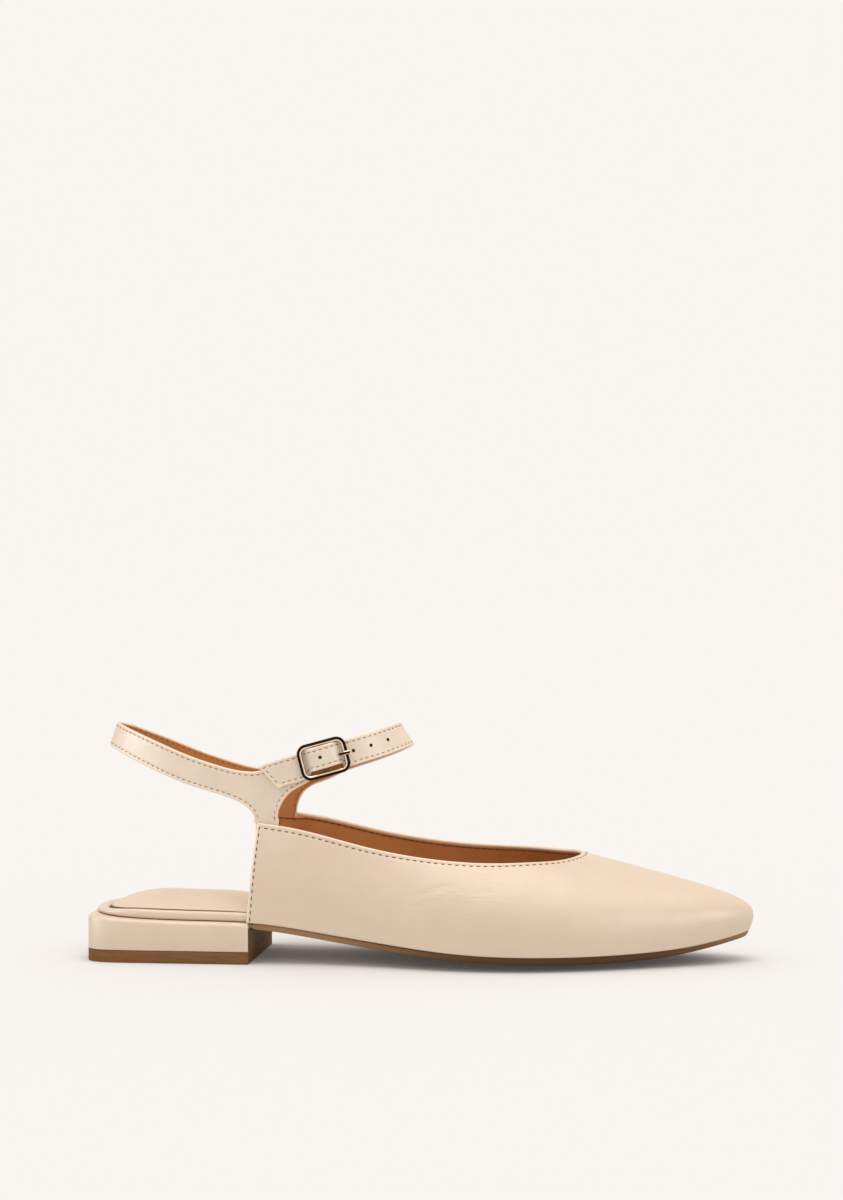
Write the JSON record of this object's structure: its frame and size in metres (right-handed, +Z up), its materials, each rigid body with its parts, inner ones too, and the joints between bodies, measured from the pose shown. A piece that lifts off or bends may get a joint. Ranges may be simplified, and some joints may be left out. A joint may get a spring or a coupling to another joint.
{
  "type": "pointed slingback flat shoe",
  "caption": "Right pointed-toe slingback flat in smooth leather, open at the heel, with a low block heel, a heel strap and a buckled ankle strap.",
  "frame": {"origin": "on the floor under the middle of the shoe's bounding box", "axes": "+X towards the toe, +Y towards the inner side of the foot, +Z up"},
  "size_m": [0.2582, 0.078, 0.092],
  "materials": {
    "beige_leather": "smooth, soft sheen",
    "tan_lining": "smooth, matt",
    "brown_sole": "matt",
    "pale_gold": "polished",
    "stitching": "waxed thread"
  },
  "bodies": {
    "root": {"upper": "beige_leather", "outsole": "brown_sole", "heel_block": "beige_leather", "top_lift": "brown_sole", "insole_rim": "beige_leather", "insole": "beige_leather", "heel_strap": "beige_leather", "ankle_strap": "beige_leather", "buckle_frame": "pale_gold", "buckle_prong": "pale_gold"}
  },
  "joints": []
}
